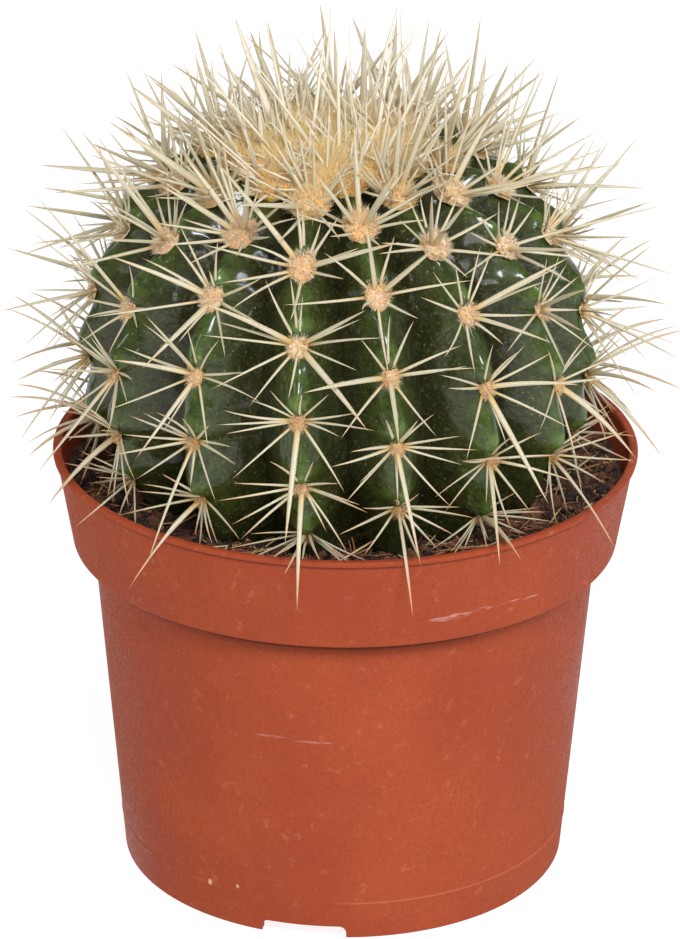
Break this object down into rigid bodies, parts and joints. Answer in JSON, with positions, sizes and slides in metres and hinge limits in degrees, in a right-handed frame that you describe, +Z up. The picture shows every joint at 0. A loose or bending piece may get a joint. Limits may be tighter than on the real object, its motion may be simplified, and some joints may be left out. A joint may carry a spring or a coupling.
{
  "type": "potted round cactus",
  "caption": "Round ribbed cactus with straw-coloured spines and a woolly crown, growing in dark soil in a round terracotta-coloured plastic nursery pot.",
  "frame": {"origin": "centre of the pot's base, on the surface that it stands on", "axes": "+Z up, -Y towards the front, +X to the right as seen from the front"},
  "size_m": [0.15, 0.1491, 0.203],
  "materials": {
    "pot_plastic": "moulded satin plastic with light scuffs",
    "potting_soil": "loose damp peat with fibres",
    "cactus_skin": "waxy and glossy",
    "spines": "dry, horny and slightly translucent"
  },
  "bodies": {
    "root": {"pot": "pot_plastic", "soil": "potting_soil", "cactus": "cactus_skin", "crown": "spines"}
  },
  "joints": []
}
